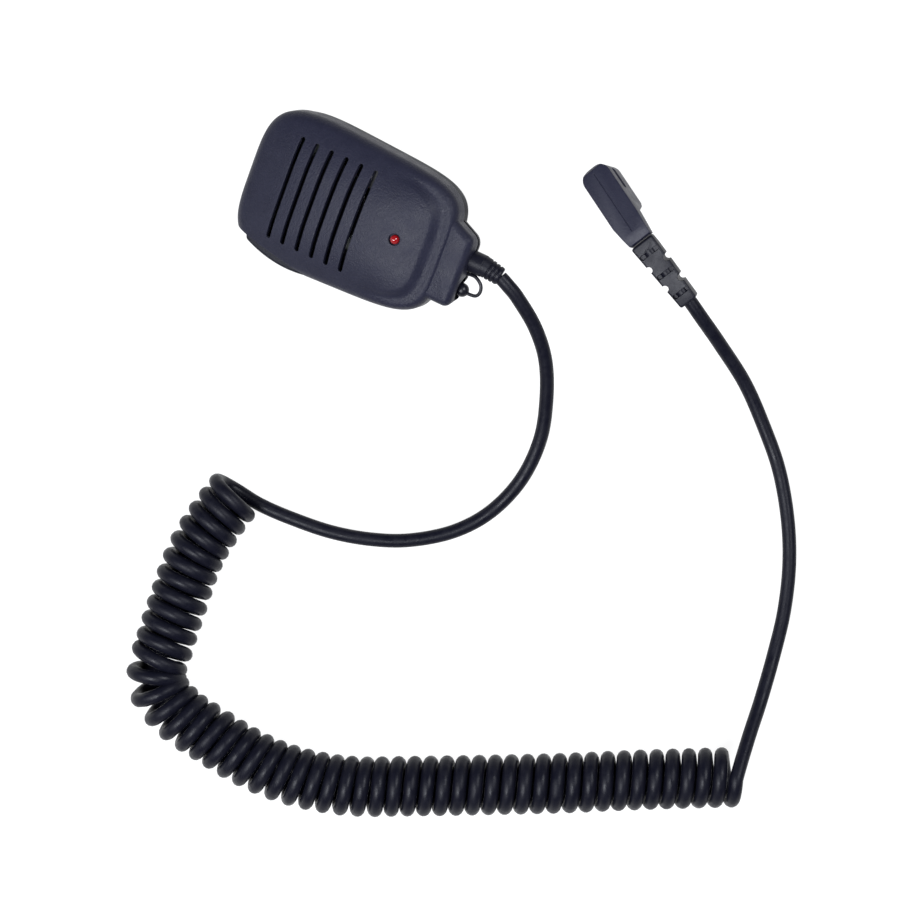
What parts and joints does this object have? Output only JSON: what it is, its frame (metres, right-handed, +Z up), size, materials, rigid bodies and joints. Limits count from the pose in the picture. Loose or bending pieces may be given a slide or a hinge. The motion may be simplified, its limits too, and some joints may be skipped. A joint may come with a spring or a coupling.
{
  "type": "hand microphone",
  "caption": "Hand-held speaker microphone with a talk key, a grille, a swivelling clip, an earphone jack cap and a curly cord to a side-entry two-pin plug.",
  "frame": {"origin": "on the plane that the part lies on, under the middle of the head's own box, with the cord, coil and plug left out of that box", "axes": "+Z up, away from the surface that the part lies on; +Y along the head from the cable end to the free end, seen from above; +X to the head's right side with the cable end towards the viewer"},
  "size_m": [0.2357, 0.2243, 0.0458],
  "materials": {
    "case_plastic": "finely textured, bluish black moulded ABS",
    "key_plastic": "finely textured moulded key",
    "clip_plastic": "moulded black nylon",
    "black_rubber": "black rubber",
    "black_foam": "closed-cell foam",
    "grille_cloth": "fine black woven dust cloth",
    "pressed_steel": "plated pressed steel",
    "magnet_steel": "plated magnet cup",
    "cone_paper": "doped paper cone",
    "red_wire": "red lead insulation",
    "green_wire": "green lead insulation",
    "bright_metal": "bright plated metal",
    "board_green": "green solder mask on glass epoxy",
    "chip_black": "moulded component bodies",
    "screw_steel": "zinc plated steel",
    "dark_screw": "blackened steel",
    "red_lens": "clear red epoxy",
    "switch_black": "switch housing",
    "plunger_plastic": "grey switch plunger",
    "jack_black": "jack housing",
    "soft_rubber": "soft black moulded rubber",
    "spring_steel": "spring wire",
    "relief_rubber": "moulded flexible boot",
    "cord_jacket": "satin polyurethane jacket",
    "plug_plastic": "moulded plug body",
    "plated_brass": "nickel plated turned brass",
    "insulator_black": "insulating rings"
  },
  "bodies": {
    "case": {"front_shell": "case_plastic", "rear_shell": "case_plastic", "shell_gasket": "black_rubber", "grille_cloth": "grille_cloth", "speaker_gasket": "black_foam", "speaker_frame": "pressed_steel", "speaker_magnet": "magnet_steel", "speaker_cone": "cone_paper", "speaker_leads": "red_wire", "mic_boot": "black_rubber", "mic_capsule": "bright_metal", "mic_leads": "green_wire", "circuit_board": "board_green", "board_parts": "chip_black", "board_screws": "screw_steel", "led_lens": "red_lens", "led_legs": "bright_metal", "ptt_switch": "switch_black", "ptt_pin": "bright_metal", "earphone_jack": "jack_black", "cap_tether": "soft_rubber", "case_screws": "dark_screw", "clip_stud": "bright_metal", "clip_washer": "bright_metal", "clip_screw": "screw_steel", "strain_relief": "relief_rubber", "cord_clamp": "pressed_steel", "clamp_screws": "screw_steel", "cord_tail": "cord_jacket", "cord_cores": "red_wire", "head_cord": "cord_jacket", "coil_cord": "cord_jacket", "plug_cord": "cord_jacket", "plug_strain_relief": "relief_rubber", "plug_body": "plug_plastic", "plug_pin_large": "plated_brass", "plug_pin_small": "plated_brass", "plug_insulators": "insulator_black"},
    "ptt_key": {"ptt_button": "key_plastic"},
    "switch_plunger": {"ptt_plunger": "plunger_plastic"},
    "clip_swivel_plate": {"clip_base": "clip_plastic", "clip_pin": "bright_metal", "clip_spring": "spring_steel"},
    "clip_jaw_body": {"clip_jaw": "clip_plastic"},
    "cap": {"jack_cap": "soft_rubber"}
  },
  "joints": [
    {"name": "ptt_press", "type": "hinge", "parent": "case", "child": "ptt_key", "pos_m": [-0.02037, 0.01461, 0.01572], "axis": [0.281, -0.2756, -0.9193], "range_deg": [0, 3], "stiffness_Nm_per_rad": 1.2, "springref_deg": -1.72},
    {"name": "plunger_press", "type": "slide", "parent": "case", "child": "switch_plunger", "axis": [0.9563, 0, 0.2924], "range_m": [0, 0.0009]},
    {"name": "clip_swivel", "type": "hinge", "parent": "case", "child": "clip_swivel_plate", "pos_m": [0.00327, 0.00669, 0.01227], "axis": [-0.281, 0.2756, 0.9193], "continuous": true},
    {"name": "clip_open", "type": "hinge", "parent": "clip_swivel_plate", "child": "clip_jaw_body", "pos_m": [0.00505, 0.01743, 0.00644], "axis": [0.9563, 0, 0.2924], "range_deg": [0, 11], "stiffness_Nm_per_rad": 0.5, "springref_deg": -11.46},
    {"name": "cap_pull", "type": "slide", "parent": "case", "child": "cap", "axis": [-0.0806, -0.9613, 0.2636], "range_m": [0, 0.008], "deforming": ["cap_tether"]}
  ],
  "couplings": [
    {"joint": "plunger_press", "follows": "ptt_press", "m_per_rad": 0.0152}
  ]
}
